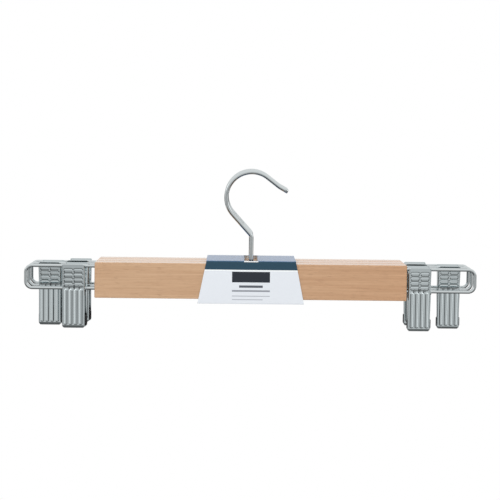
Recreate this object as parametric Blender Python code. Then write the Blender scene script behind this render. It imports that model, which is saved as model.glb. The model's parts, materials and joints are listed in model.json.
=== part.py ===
"""Pack of three wooden trouser hangers, held together by a folded card sleeve.

Each hanger is a wooden bar with a swivelling wire hook and a U-shaped wire loop in each end.
A sprung clip with two stamped jaws slides on each loop. Sizes are in metres, +Z is up, X runs
along the bars and the pack faces -Y. The origin is where a wardrobe rod carries the hooks: at
the inside top of the middle hanger's hook.
"""

import math

import bmesh
import bpy
from mathutils import Vector

# Hangers in the pack, from the front. The near and far clips stand off from the bar's end, and
# the middle ones from the inside of the loop's outer end.
HANGERS = ("near", "middle", "far")
CLIP_STANDOFF = {
    "near": {"left": 0.0073, "right": 0.0015},
    "far": {"left": 0.0074, "right": 0.0024},
}
CLIP_TO_LOOP_END = {"left": 0.0081, "right": 0.0086}
SIDES = {"left": -1, "right": 1}
CLEARANCE = 0.0003

# Wooden bar
BAR_LENGTH = 0.264
BAR_HEIGHT = 0.0302
BAR_THICKNESS = 0.0124
BAR_EDGE_ROUND = 0.0008

# Swivel hook, bent from round wire and headed under a washer
HOOK_WIRE = 0.0036
HOOK_INSIDE = 0.0396
HOOK_SEAT_TO_BAR = 0.0755
HOOK_BEND_RADIUS = 0.0055
HOOK_SHANK_LEAN = 42.0
HOOK_NOSE_SLOPE = 37.5
HOOK_NOSE_RUN = 0.0122
HOOK_FLICK = 8.0
HOOK_FLICK_RADIUS = 0.009
HOOK_TIP_RUN = 0.0075
HOOK_HEAD = 0.0066
HOOK_HEAD_HEIGHT = 0.0016
HOOK_BORE_CLEARANCE = 0.00025
WASHER_DIAMETER = 0.0092
WASHER_THICKNESS = 0.0010
COUNTERBORE_DIAMETER = 0.0110
COUNTERBORE_DEPTH = 0.0055

# Wire loop: two legs pushed into the bar's end
LOOP_WIRE = 0.0028
LOOP_HEIGHT = 0.0217
LOOP_REACH = 0.0603
LOOP_BEND_RADIUS = 0.0055
LOOP_LEG_DEPTH = 0.0220
LOOP_TOP_BELOW_BAR_TOP = 0.0026
LOOP_BORE_CLEARANCE = 0.0003

# Clip: two equal stamped jaws that hinge on the loop's lower wire
JAW_WIDTH = 0.0190
JAW_METAL = 0.0007
JAW_CORNER = 0.0008
HANDLE_RISE = 0.0210
JAW_DROP = 0.0333
HANDLE_TOP_DEPTH = 0.0075
HINGE_DEPTH = 0.0046
JAW_TIP_DEPTH = 0.0042
HANDLE_LIP = 0.0013
WALL_TOP = 0.0152
WALL_DEPTH = 0.0050
WALL_SLOPE = 0.0016
TIP_WALL = 0.0015
EAR_REACH = 0.0026
EAR_HALF_HEIGHT = 0.0026
HANDLE_TOP_ROUND = 0.0008
TIP_CHAMFER = 0.0012
TIP_TURN_HEIGHT = 0.0024
TIP_TURN_IN = 0.0005
FLUTES = 4
FLUTE_HEIGHT = 0.0007
FLUTE_FLAT = 0.0010
FLUTE_TOP = 0.0015
FLUTE_FOOT = 0.0301
FLUTE_END = 0.0015
PIVOT_CLEARANCE = 0.0003

# Soft pad in each jaw's tip
PAD_HEIGHT = 0.0090
PAD_OVERHANG = 0.0004
PAD_ABOVE_TIP = 0.0011
PAD_CORNER = 0.0016

# Torsion spring, wound round the lower wire inside the clip
SPRING_WIRE = 0.0009
SPRING_RADIUS = 0.0023
SPRING_TURNS = 4
SPRING_PITCH = 0.0017
SPRING_LEG_RISE = 0.0110
POINTS_PER_TURN = 9

# Card sleeve, wider at the foot than at the fold
CARD = 0.0005
SLEEVE_TOP_WIDTH = 0.0758
SLEEVE_FOOT_WIDTH = 0.0902
SLEEVE_ABOVE_BARS = 0.0020
SLEEVE_BELOW_BARS = 0.0044
SLEEVE_FOLD_ROUND = 0.0004
STEM_SLOT_WIDTH = 0.0120
STEM_SLOT_DIP = 0.0015

# Places that follow from the sizes above
PITCH = BAR_THICKNESS + CLEARANCE
PACK_DEPTH = BAR_THICKNESS + PITCH * (len(HANGERS) - 1)
BAR_TOP = -HOOK_SEAT_TO_BAR
BAR_END = BAR_LENGTH / 2
UPPER_WIRE_Z = BAR_TOP - LOOP_TOP_BELOW_BAR_TOP - LOOP_WIRE / 2
LOWER_WIRE_Z = UPPER_WIRE_Z - LOOP_HEIGHT + LOOP_WIRE
JAW_STEP = JAW_METAL + CLEARANCE
CLIP_WIDTH = JAW_WIDTH + JAW_STEP
HOOK_RADIUS = (HOOK_INSIDE + HOOK_WIRE) / 2
SLEEVE_FOOT = BAR_TOP - BAR_HEIGHT - SLEEVE_BELOW_BARS


def clear_scene():
    for item in list(bpy.data.objects):
        bpy.data.objects.remove(item, do_unlink=True)


def make_material(name, colour, roughness, metallic):
    material = bpy.data.materials.new(name)
    material.use_nodes = True
    shader = material.node_tree.nodes["Principled BSDF"]
    shader.inputs["Base Color"].default_value = (*colour, 1.0)
    shader.inputs["Roughness"].default_value = roughness
    shader.inputs["Metallic"].default_value = metallic
    material.diffuse_color = (*colour, 1.0)
    return material


def make_materials():
    return {
        "beech": make_material("beech", (0.56, 0.36, 0.21), 0.5, 0.0),
        "chrome": make_material("chrome", (0.72, 0.74, 0.75), 0.18, 1.0),
        "spring_steel": make_material("spring_steel", (0.45, 0.46, 0.47), 0.3, 1.0),
        "black_pvc": make_material("black_pvc", (0.02, 0.02, 0.022), 0.55, 0.0),
        "card": make_material("card", (0.79, 0.83, 0.86), 0.6, 0.0),
    }


def add_object(name, data, material=None, parent=None, place=(0, 0, 0)):
    item = bpy.data.objects.new(name, data)
    bpy.context.scene.collection.objects.link(item)
    item.parent = parent
    item.location = place
    if material:
        item.data.materials.append(material)
    return item


def mesh_from(name, build):
    """A mesh whose faces the function build adds to an empty bmesh."""
    shape = bmesh.new()
    build(shape)
    bmesh.ops.recalc_face_normals(shape, faces=shape.faces)
    mesh = bpy.data.meshes.new(name)
    shape.to_mesh(mesh)
    shape.free()
    return mesh


def shade_round(mesh, angle=35.0):
    mesh.shade_smooth()
    mesh.set_sharp_from_angle(angle=math.radians(angle))


def extrude_outline(shape, outline, depth):
    """Extrudes a closed outline of 3-D points along the vector depth."""
    face = shape.faces.new([shape.verts.new(point) for point in outline])
    grown = bmesh.ops.extrude_face_region(shape, geom=[face])
    moved = [part for part in grown["geom"] if isinstance(part, bmesh.types.BMVert)]
    bmesh.ops.translate(shape, verts=moved, vec=depth)


def circle(radius, sides, start=0.0):
    """Corners of a regular polygon, as pairs."""
    turns = [start + 2 * math.pi * i / sides for i in range(sides)]
    return [(radius * math.cos(a), radius * math.sin(a)) for a in turns]


def upright_cylinder(shape, radius, bottom, top, sides, x=0.0):
    outline = [(x + a, b, bottom) for a, b in circle(radius, sides)]
    extrude_outline(shape, outline, (0, 0, top - bottom))


def lengthwise_cylinder(shape, radius, start, end, z, sides):
    outline = [(start, a, z + b) for a, b in circle(radius, sides, math.pi / sides)]
    extrude_outline(shape, outline, (end - start, 0, 0))


def block(shape, low, high):
    outline = [
        (low[0], low[1], low[2]),
        (high[0], low[1], low[2]),
        (high[0], high[1], low[2]),
        (low[0], high[1], low[2]),
    ]
    extrude_outline(shape, outline, (0, 0, high[2] - low[2]))


def apply_boolean(item, build, operation, name):
    """Cuts from, or joins to, an object the shape that the function build makes."""
    tool = add_object(name, mesh_from(name, build), parent=item)
    tool.hide_render = True
    tool.display_type = "WIRE"
    modifier = item.modifiers.new(name, "BOOLEAN")
    modifier.operation = operation
    modifier.solver = "EXACT"
    modifier.object = tool


def bevel_edges(shape, width, segments, chosen):
    bmesh.ops.bevel(
        shape,
        geom=[edge for edge in shape.edges if chosen(edge)],
        offset=width,
        segments=segments,
        profile=0.5,
        affect="EDGES",
    )


def bend_wire(place, heading, steps):
    """Centre line of a wire in the XZ plane, made like a wire former: straight runs and bends.

    A run is ("run", length). A bend is ("bend", radius, degrees, points), where positive
    degrees turn to the left. The heading starts at so many degrees from +X towards +Z.
    """
    x, z = place
    turned = math.radians(heading)
    points = [(x, z)]
    for step in steps:
        if step[0] == "run":
            x += step[1] * math.cos(turned)
            z += step[1] * math.sin(turned)
            points.append((x, z))
            continue
        _, radius, degrees, count = step
        side = math.copysign(1, degrees)
        centre_x = x - side * radius * math.sin(turned)
        centre_z = z + side * radius * math.cos(turned)
        for i in range(1, count + 1):
            angle = turned + math.radians(degrees) * i / count
            x = centre_x + side * radius * math.sin(angle)
            z = centre_z - side * radius * math.cos(angle)
            points.append((x, z))
        turned += math.radians(degrees)
    return points


def wire_curve(name, points, diameter, resolution):
    """A round wire along 3-D points, with closed ends. Resolution 1 gives 6 sides, 2 gives 8."""
    curve = bpy.data.curves.new(name, "CURVE")
    curve.dimensions = "3D"
    curve.bevel_depth = diameter / 2
    curve.bevel_resolution = resolution
    curve.use_fill_caps = True
    spline = curve.splines.new("POLY")
    spline.points.add(len(points) - 1)
    for target, point in zip(spline.points, points):
        target.co = (*point, 1.0)
        target.radius = 1.0
    spline.use_smooth = True
    return curve


def curve_to_mesh(name, curve):
    """The curve's surface as a mesh, so that a Boolean can take it."""
    item = add_object(name + "_wire", curve)
    graph = bpy.context.evaluated_depsgraph_get()
    mesh = bpy.data.meshes.new_from_object(item.evaluated_get(graph))
    bpy.data.objects.remove(item, do_unlink=True)
    shape = bmesh.new()
    shape.from_mesh(mesh)
    bmesh.ops.remove_doubles(shape, verts=shape.verts, dist=1e-6)
    bmesh.ops.recalc_face_normals(shape, faces=shape.faces)
    shape.to_mesh(mesh)
    shape.free()
    return mesh


def least_gap(points, diameter, turn):
    """Least clear distance between one turn of a coil and the next, measured on its points."""
    apart = [
        (Vector(points[i]) - Vector(points[j])).length
        for i in range(len(points))
        for j in range(i + turn // 2 + 1, len(points))
    ]
    return min(apart) - diameter


def outer_depth(z):
    """How far a jaw's outer face stands from the hinge plane, at a height above the hinge."""
    if z >= 0:
        return HINGE_DEPTH + (HANDLE_TOP_DEPTH - HINGE_DEPTH) * z / HANDLE_RISE
    return HINGE_DEPTH + (HINGE_DEPTH - JAW_TIP_DEPTH) * z / JAW_DROP


def bar_mesh():
    def build(shape):
        half = (BAR_END, BAR_THICKNESS / 2)
        block(
            shape,
            (-half[0], -half[1], BAR_TOP - BAR_HEIGHT),
            (half[0], half[1], BAR_TOP),
        )
        bevel_edges(shape, BAR_EDGE_ROUND, 2, lambda edge: True)

    mesh = mesh_from("bar", build)
    shade_round(mesh)
    return mesh


def drill_bar(bar):
    """The hook's hole and counterbore, and two blind holes in each end for the loops' legs."""
    below = BAR_TOP - BAR_HEIGHT

    def holes(shape):
        bore = HOOK_WIRE / 2 + HOOK_BORE_CLEARANCE
        ceiling = below + COUNTERBORE_DEPTH
        upright_cylinder(shape, bore, ceiling - BAR_EDGE_ROUND, BAR_TOP + BAR_HEIGHT, 16)

    def counterbore(shape):
        radius = COUNTERBORE_DIAMETER / 2
        upright_cylinder(shape, radius, below - BAR_HEIGHT, below + COUNTERBORE_DEPTH, 20)

    def leg_holes(shape):
        radius = LOOP_WIRE / 2 + LOOP_BORE_CLEARANCE
        inner = BAR_END - LOOP_LEG_DEPTH - CLEARANCE
        for side in SIDES.values():
            for z in (UPPER_WIRE_Z, LOWER_WIRE_Z):
                ends = sorted((side * inner, side * (BAR_END + LOOP_LEG_DEPTH)))
                lengthwise_cylinder(shape, radius, *ends, z, 12)

    apply_boolean(bar, holes, "DIFFERENCE", bar.name + "_stem_drill")
    apply_boolean(bar, counterbore, "DIFFERENCE", bar.name + "_counterbore_drill")
    apply_boolean(bar, leg_holes, "DIFFERENCE", bar.name + "_leg_drills")


def washer_top():
    return BAR_TOP - BAR_HEIGHT + COUNTERBORE_DEPTH - CLEARANCE


def head_top():
    return washer_top() - WASHER_THICKNESS - CLEARANCE


def hook_points():
    """Straight stem, leaning shank, round crook and a flicked nose, all from one length of wire."""
    lean = math.radians(HOOK_SHANK_LEAN)
    centre_z = HOOK_WIRE / 2 - HOOK_RADIUS
    crook_x = -HOOK_RADIUS * math.cos(lean)
    crook_z = centre_z - HOOK_RADIUS * math.sin(lean)
    bend_tangent = HOOK_BEND_RADIUS * math.tan(lean / 2)
    shank = -crook_x / math.sin(lean) - bend_tangent
    corner_z = crook_z + crook_x / math.tan(lean)
    bottom = head_top() - HOOK_HEAD_HEIGHT / 2
    stem = corner_z - bend_tangent - bottom
    turn = 90 + HOOK_SHANK_LEAN + HOOK_NOSE_SLOPE
    steps = [
        ("run", stem),
        ("bend", HOOK_BEND_RADIUS, HOOK_SHANK_LEAN, 3),
        ("run", shank),
        ("bend", HOOK_RADIUS, -turn, 20),
        ("run", HOOK_NOSE_RUN),
        ("bend", HOOK_FLICK_RADIUS, HOOK_FLICK, 2),
        ("run", HOOK_TIP_RUN),
    ]
    return [(x, 0.0, z) for x, z in bend_wire((0.0, bottom), 90.0, steps)]


def hook_mesh():
    curve = wire_curve("hook", hook_points(), HOOK_WIRE, 3)
    mesh = curve_to_mesh("hook", curve)
    shade_round(mesh, 50)
    return mesh


def head_hook(hook):
    """The peened head that carries the bar, through a washer."""

    def head(shape):
        top = head_top()
        upright_cylinder(shape, HOOK_HEAD / 2, top - HOOK_HEAD_HEIGHT, top, 16)
        low = top - HOOK_HEAD_HEIGHT
        bevel_edges(
            shape,
            HOOK_HEAD_HEIGHT / 3,
            1,
            lambda edge: all(abs(v.co.z - low) < 1e-7 for v in edge.verts),
        )

    apply_boolean(hook, head, "UNION", hook.name + "_head")


def washer_mesh():
    def build(shape):
        inner = HOOK_WIRE / 2 + HOOK_BORE_CLEARANCE
        profile = [
            (WASHER_DIAMETER / 2, washer_top() - WASHER_THICKNESS),
            (WASHER_DIAMETER / 2, washer_top()),
            (inner, washer_top()),
            (inner, washer_top() - WASHER_THICKNESS),
        ]
        ring = [shape.verts.new((r, 0, z)) for r, z in profile]
        edges = [shape.edges.new((ring[i - 1], ring[i])) for i in range(len(ring))]
        bmesh.ops.spin(
            shape,
            geom=ring + edges,
            cent=(0, 0, 0),
            axis=(0, 0, 1),
            angle=2 * math.pi,
            steps=16,
            use_merge=True,
        )
        bmesh.ops.remove_doubles(shape, verts=shape.verts, dist=1e-6)

    mesh = mesh_from("hook_washer", build)
    shade_round(mesh)
    return mesh


def loop_curve(side):
    """A U of wire: out along the top, round two bends, and back along the bottom."""
    leg_end = BAR_END - LOOP_LEG_DEPTH
    run = LOOP_LEG_DEPTH + LOOP_REACH - LOOP_WIRE / 2 - LOOP_BEND_RADIUS
    drop = UPPER_WIRE_Z - LOWER_WIRE_Z - 2 * LOOP_BEND_RADIUS
    bend = ("bend", LOOP_BEND_RADIUS, -90, 5)
    steps = [("run", run), bend, ("run", drop), bend, ("run", run)]
    points = bend_wire((leg_end, UPPER_WIRE_Z), 0.0, steps)
    return wire_curve("wire_loop", [(side * x, 0.0, z) for x, z in points], LOOP_WIRE, 2)


def jaw_rows():
    """Stations down a jaw, above and below the hinge: height, half width, wall depth, flute.

    The wall is the metal folded back along each long edge. It is low behind the handle's top,
    where the loop's upper wire passes, and at the hinge it grows into an ear past the wire.
    """
    half = JAW_WIDTH / 2
    ear = HINGE_DEPTH + EAR_REACH
    pad_top = PAD_ABOVE_TIP + PAD_HEIGHT - JAW_DROP
    return [
        (HANDLE_RISE, half - HANDLE_TOP_ROUND, HANDLE_LIP, 0),
        (HANDLE_RISE - HANDLE_TOP_ROUND, half, HANDLE_LIP, 0),
        (WALL_TOP + WALL_SLOPE, half, HANDLE_LIP, 0),
        (WALL_TOP, half, WALL_DEPTH, 0),
        (EAR_HALF_HEIGHT + WALL_SLOPE, half, WALL_DEPTH, 0),
        (EAR_HALF_HEIGHT, half, ear, 0),
        (FLUTE_TOP, half, ear, 0),
        (FLUTE_TOP - FLUTE_END, half, ear, 1),
        (-EAR_HALF_HEIGHT, half, ear, 1),
        (-EAR_HALF_HEIGHT - WALL_SLOPE, half, WALL_DEPTH, 1),
        (pad_top + WALL_SLOPE, half, TIP_WALL + WALL_SLOPE / 2, 1),
        (pad_top, half, TIP_WALL, 1),
        (-FLUTE_FOOT + FLUTE_END, half, TIP_WALL, 1),
        (-FLUTE_FOOT, half, TIP_WALL, 0),
        (-JAW_DROP + TIP_TURN_HEIGHT, half, TIP_WALL, 0),
        (-JAW_DROP, half - TIP_CHAMFER, TIP_WALL - TIP_TURN_IN, 0),
    ]


def jaw_section(half, wall, flute):
    """One station across a jaw, as pairs of place across and depth behind its outer face."""
    flat = half - JAW_CORNER
    arc = JAW_CORNER * (1 - math.sqrt(0.5))
    edge = [(-half, wall), (-half, JAW_CORNER), (-half + arc, arc)]
    pitch = 2 * flat / FLUTES
    face = [(-flat, 0.0)]
    for i in range(FLUTES):
        middle = -flat + pitch * (i + 0.5)
        face.append((middle - FLUTE_FLAT / 2, -FLUTE_HEIGHT * flute))
        face.append((middle + FLUTE_FLAT / 2, -FLUTE_HEIGHT * flute))
        face.append((middle + pitch / 2, 0.0))
    return edge + face + [(-x, depth) for x, depth in reversed(edge)]


def jaw_mesh():
    """The stamping as a sheet of the outer face. Its front is -Y, and its hinge is on X."""

    def build(shape):
        rows = []
        for z, half, wall, flute in jaw_rows():
            face_y = -outer_depth(z)
            if z == -JAW_DROP:
                face_y += TIP_TURN_IN
            section = jaw_section(half, wall, flute)
            rows.append(
                [shape.verts.new((x - JAW_STEP / 2, face_y + d, z)) for x, d in section]
            )
        for upper, lower in zip(rows, rows[1:]):
            for i in range(len(upper) - 1):
                shape.faces.new((upper[i], lower[i], lower[i + 1], upper[i + 1]))

    mesh = mesh_from("jaw", build)
    if sum(face.normal.y * face.area for face in mesh.polygons) > 0:
        mesh.flip_normals()
    return mesh


def finish_jaw(jaw):
    """Gives the sheet its thickness, on the inner side, and drills both ears for the wire."""
    metal = jaw.modifiers.new("metal", "SOLIDIFY")
    metal.thickness = JAW_METAL
    metal.offset = -1.0
    metal.use_even_offset = True

    def drill(shape):
        radius = LOOP_WIRE / 2 + PIVOT_CLEARANCE
        lengthwise_cylinder(shape, radius, -JAW_WIDTH, JAW_WIDTH, 0.0, 12)

    apply_boolean(jaw, drill, "DIFFERENCE", jaw.name + "_drill")


def pad_mesh():
    """A soft pad with round lower corners, whose face laps over the edges of the jaw's walls."""
    bottom = -JAW_DROP + PAD_ABOVE_TIP
    top = bottom + PAD_HEIGHT
    half = JAW_WIDTH / 2 + PAD_OVERHANG
    lap = TIP_WALL + CLEARANCE - outer_depth(bottom)

    def build(shape):
        corner = half - PAD_CORNER
        outline = [(half, top)]
        for i in range(5):
            angle = math.pi * i / 8
            across = corner + PAD_CORNER * math.cos(angle)
            outline.append((across, bottom + PAD_CORNER * (1 - math.sin(angle))))
        outline += [(-x, z) for x, z in reversed(outline)]
        points = [(x - JAW_STEP / 2, lap, z) for x, z in outline]
        extrude_outline(shape, points, (0, -CLEARANCE / 2 - lap, 0))

    mesh = mesh_from("pad", build)
    shade_round(mesh)
    return mesh


def plug_pad(pad):
    """The rib that holds the pad between the jaw's walls."""
    bottom = -JAW_DROP + PAD_ABOVE_TIP
    half = JAW_WIDTH / 2 - JAW_METAL - CLEARANCE

    def rib(shape):
        front = JAW_METAL + CLEARANCE - outer_depth(bottom)
        low = (-half - JAW_STEP / 2, front, bottom + PAD_CORNER)
        high = (half - JAW_STEP / 2, -2 * CLEARANCE, bottom + PAD_HEIGHT - PAD_CORNER / 2)
        block(shape, low, high)

    apply_boolean(pad, rib, "UNION", pad.name + "_rib")


def spring_points():
    """A coil round the hinge with two legs that run up behind the handles.

    Each leg lies along the line from its tip that just touches the coil's circle.
    """
    tip_depth = outer_depth(SPRING_LEG_RISE) - JAW_METAL - CLEARANCE - SPRING_WIRE / 2
    reach = math.hypot(tip_depth, SPRING_LEG_RISE)
    leaves = math.atan2(SPRING_LEG_RISE, tip_depth) - math.acos(SPRING_RADIUS / reach)
    start = math.pi - leaves
    end = 2 * math.pi * (SPRING_TURNS + 1) + leaves
    half = SPRING_PITCH * (end - start) / (4 * math.pi)
    count = round(POINTS_PER_TURN * (end - start) / (2 * math.pi))
    coil = []
    for i in range(count + 1):
        share = i / count
        angle = start + (end - start) * share
        coil.append(
            (
                half * (2 * share - 1),
                SPRING_RADIUS * math.cos(angle),
                SPRING_RADIUS * math.sin(angle),
            )
        )
    gap = least_gap(coil, SPRING_WIRE, POINTS_PER_TURN)
    print(f"least gap between the spring's turns: {gap * 1000:.2f} mm")
    front_tip = (-half, -tip_depth, SPRING_LEG_RISE)
    rear_tip = (half, tip_depth, SPRING_LEG_RISE)
    return [front_tip, *coil, rear_tip]


def sleeve_mesh():
    """The folded card: a band round the three bars whose side edges slant."""
    depth = PACK_DEPTH / 2 + CLEARANCE + CARD
    top = BAR_TOP + SLEEVE_ABOVE_BARS + CARD

    def build(shape):
        outline = [
            (-SLEEVE_FOOT_WIDTH / 2, -depth, SLEEVE_FOOT),
            (SLEEVE_FOOT_WIDTH / 2, -depth, SLEEVE_FOOT),
            (SLEEVE_TOP_WIDTH / 2, -depth, top),
            (-SLEEVE_TOP_WIDTH / 2, -depth, top),
        ]
        extrude_outline(shape, outline, (0, 2 * depth, 0))
        bevel_edges(
            shape,
            SLEEVE_FOLD_ROUND,
            2,
            lambda edge: abs(edge.verts[0].co.y - edge.verts[1].co.y) < 1e-7
            and abs(edge.verts[0].co.z - edge.verts[1].co.z) < 1e-7,
        )

    return mesh_from("card_sleeve", build)


def cut_sleeve(sleeve):
    """The hollow for the bars, and a slot for the hooks' stems.

    The slot runs over both top folds. Its cutter is a round bar along Y, so that the cut dips
    a little into the front and the back in a shallow curve.
    """

    def hollow(shape):
        inside = PACK_DEPTH / 2 + CLEARANCE
        low = SLEEVE_FOOT + CARD
        high = BAR_TOP + SLEEVE_ABOVE_BARS
        block(
            shape,
            (-SLEEVE_FOOT_WIDTH, -inside, low),
            (SLEEVE_FOOT_WIDTH, inside, high),
        )

    def slot(shape):
        radius = (STEM_SLOT_WIDTH**2 / 4 + STEM_SLOT_DIP**2) / (2 * STEM_SLOT_DIP)
        middle = BAR_TOP + SLEEVE_ABOVE_BARS + CARD - STEM_SLOT_DIP + radius
        points = [(x, -PACK_DEPTH, middle + z) for x, z in circle(radius, 40)]
        extrude_outline(shape, points, (0, 2 * PACK_DEPTH, 0))

    apply_boolean(sleeve, hollow, "DIFFERENCE", "sleeve_hollow")
    apply_boolean(sleeve, slot, "DIFFERENCE", "stem_slot")


def clip_place(name, side):
    """How far the middle of a clip stands from the middle of the bar."""
    if name in CLIP_STANDOFF:
        return BAR_END + CLIP_STANDOFF[name][side] + CLIP_WIDTH / 2
    loop_inside = BAR_END + LOOP_REACH - LOOP_WIRE
    return loop_inside - CLIP_TO_LOOP_END[side] - CLIP_WIDTH / 2


def make_clip(prefix, hanger, x, meshes, materials):
    """Two equal jaws back to back on the wire, the rear one turned half round."""
    hinge = add_object(prefix + "_clip", None, parent=hanger, place=(x, 0, LOWER_WIRE_Z))
    add_object(prefix + "_spring", meshes["spring"].copy(), materials["spring_steel"], hinge)
    for facing, turn in (("face", 0.0), ("rear", math.pi)):
        jaw = add_object(
            f"{prefix}_{facing}_jaw", meshes["jaw"].copy(), materials["chrome"], hinge
        )
        finish_jaw(jaw)
        jaw.rotation_euler.z = turn
        pad = add_object(
            f"{prefix}_{facing}_pad", meshes["pad"].copy(), materials["black_pvc"], jaw
        )
        plug_pad(pad)


def make_hanger(name, depth, meshes, materials):
    hanger = add_object(name + "_hanger", None, place=(0, depth, 0))
    bar = add_object(name + "_bar", meshes["bar"].copy(), materials["beech"], hanger)
    drill_bar(bar)
    hook = add_object(name + "_hook", meshes["hook"].copy(), materials["chrome"], hanger)
    head_hook(hook)
    add_object(
        name + "_hook_washer", meshes["washer"].copy(), materials["chrome"], hanger
    )
    for side, sign in SIDES.items():
        prefix = f"{name}_{side}"
        add_object(prefix + "_wire_loop", loop_curve(sign), materials["chrome"], hanger)
        make_clip(prefix, hanger, sign * clip_place(name, side), meshes, materials)


def main():
    clear_scene()
    materials = make_materials()
    meshes = {
        "bar": bar_mesh(),
        "hook": hook_mesh(),
        "washer": washer_mesh(),
        "jaw": jaw_mesh(),
        "pad": pad_mesh(),
        "spring": wire_curve("spring", spring_points(), SPRING_WIRE, 1),
    }
    middle = (len(HANGERS) - 1) / 2
    for i, name in enumerate(HANGERS):
        make_hanger(name, (i - middle) * PITCH, meshes, materials)
    sleeve = add_object("card_sleeve", sleeve_mesh(), materials["card"])
    cut_sleeve(sleeve)


main()
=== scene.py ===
"""Looks of a pack of three wooden trouser hangers in a printed card sleeve.

The hangers' bars and washers are the CAD nodes with wood and plate on them. Everything pressed,
bent, moulded or folded is made again here as a finer surface: the wire hooks and loops, the
stamped jaws of the clips, their pads and springs, and the sleeve. Metres, in the part's frame.
"""

import math

import bmesh
import bpy
import numpy as np
from mathutils import Matrix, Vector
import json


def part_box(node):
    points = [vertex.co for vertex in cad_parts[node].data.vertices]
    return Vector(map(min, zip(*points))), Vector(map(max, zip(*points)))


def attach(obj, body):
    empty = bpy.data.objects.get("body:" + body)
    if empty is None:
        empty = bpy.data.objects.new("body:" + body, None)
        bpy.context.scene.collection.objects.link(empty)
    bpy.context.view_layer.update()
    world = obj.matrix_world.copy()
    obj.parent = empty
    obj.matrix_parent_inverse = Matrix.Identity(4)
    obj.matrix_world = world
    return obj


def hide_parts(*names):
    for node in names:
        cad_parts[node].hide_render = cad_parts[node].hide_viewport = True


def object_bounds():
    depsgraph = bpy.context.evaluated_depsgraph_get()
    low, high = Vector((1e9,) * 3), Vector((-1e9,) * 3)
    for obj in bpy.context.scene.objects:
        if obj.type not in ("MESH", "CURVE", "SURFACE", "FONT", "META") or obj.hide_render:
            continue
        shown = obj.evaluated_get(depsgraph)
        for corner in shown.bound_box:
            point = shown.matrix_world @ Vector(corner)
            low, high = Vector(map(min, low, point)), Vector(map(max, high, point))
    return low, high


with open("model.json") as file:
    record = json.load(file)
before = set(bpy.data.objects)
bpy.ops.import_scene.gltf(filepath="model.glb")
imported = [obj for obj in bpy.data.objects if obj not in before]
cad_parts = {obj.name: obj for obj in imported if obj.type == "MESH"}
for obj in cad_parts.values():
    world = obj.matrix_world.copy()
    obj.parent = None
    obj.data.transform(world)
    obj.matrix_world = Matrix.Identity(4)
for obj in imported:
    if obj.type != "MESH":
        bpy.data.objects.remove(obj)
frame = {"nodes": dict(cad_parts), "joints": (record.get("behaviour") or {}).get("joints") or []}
cad_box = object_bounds()

HANGERS = ("near", "middle", "far")
SIDES = {"left": -1, "right": 1}

# A millimetre in metres, and the gap that a pad and a spring's leg keep from their jaw
MM = 0.001
CLEARANCE = 0.3 * MM

# Wires, and the steps that their middle lines are made in
HOOK_WIRE = 3.6 * MM
LOOP_WIRE = 2.8 * MM
SPRING_WIRE = 0.9 * MM
RUN_STEP = 4 * MM
BEND_STEP = math.radians(3)

# Hook: crook radius to the wire's middle, lean of the shank, and slope and flick of the nose.
# Then the bend above the stem, the nose's straight run, the flick's radius, the run to the tip
# and the chamfer of both ends
CROOK = 21.6 * MM
SHANK_LEAN = math.radians(42)
NOSE_SLOPE = math.radians(37.5)
NOSE_FLICK = math.radians(8)
STEM_BEND = 5.5 * MM
NOSE_RUN = 12.2 * MM
FLICK_RADIUS = 9.0 * MM
TIP_RUN = 7.5 * MM
HOOK_CHAMFER = 0.25 * MM

# The hook's peened head: heights above its foot, the radius at each, and the step to the stem
HEAD_HEIGHTS = np.array([0, 0.35, 0.9, 1.45, 1.6]) * MM
HEAD_RADII = np.array([2.4, 3.0, 3.3, 3.3, 3.0]) * MM
HEAD_STEP = 0.01 * MM

# Wire loop: radius of its bends, and chamfer of its ends
LOOP_BEND = 5.5 * MM
LOOP_CHAMFER = 0.2 * MM

# Jaw stamping. HINGE_BEND bounds the heights over which its two slopes blend
JAW_HALF = 9.5 * MM
JAW_METAL = 0.7 * MM
JAW_SHIFT = 0.5 * MM
HANDLE_RISE = 21.0 * MM
JAW_DROP = 33.3 * MM
HANDLE_DEPTH = 7.5 * MM
HINGE_DEPTH = 4.6 * MM
TIP_DEPTH = 4.2 * MM
HINGE_BEND = (-1.5 * MM, 2.5 * MM)
PIVOT_HOLE = 1.7 * MM
JAW_CORNER = 0.9 * MM
HANDLE_ROUND = 1.0 * MM
TIP_CHAMFER = 1.2 * MM

# The tip's turn inwards: its height, its steepness, and the length over which it sets in
TURN_HEIGHT = 2.4 * MM
TURN_STEEP = 0.24
TURN_SOFT = 0.3 * MM

# The jaw's side wall: depths of the lip, wall and tip, and its least depth past the corner. Then
# the heights over which the lip becomes the wall, the pad's top, and the taper above the pad
LIP_DEPTH = 1.3 * MM
WALL_DEPTH = 5.0 * MM
TIP_WALL = 1.5 * MM
LEAST_WALL = 0.2 * MM
WALL_GROWS = (14.8 * MM, 16.8 * MM)
PAD_TOP = -23.2 * MM
TAPER_EXTRA = 0.8 * MM
TAPER_LENGTH = 18.0 * MM
TAPER_END = 1.6 * MM
EAR_RADIUS = 2.6 * MM

# The stamping's grid: heights that bound each stretch of rows, the rows in it, and the columns
ROW_STOPS = np.array([-33.3, -30.9, -27.9, -25.0, -20.5, -4.0, 3.0, 18.2, 19.8, 21.0]) * MM
ROW_COUNTS = (8, 16, 6, 12, 10, 28, 76, 5, 8)
WALL_COLUMNS = 9
CORNER_COLUMNS = 6
FACE_COLUMNS = 105

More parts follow.
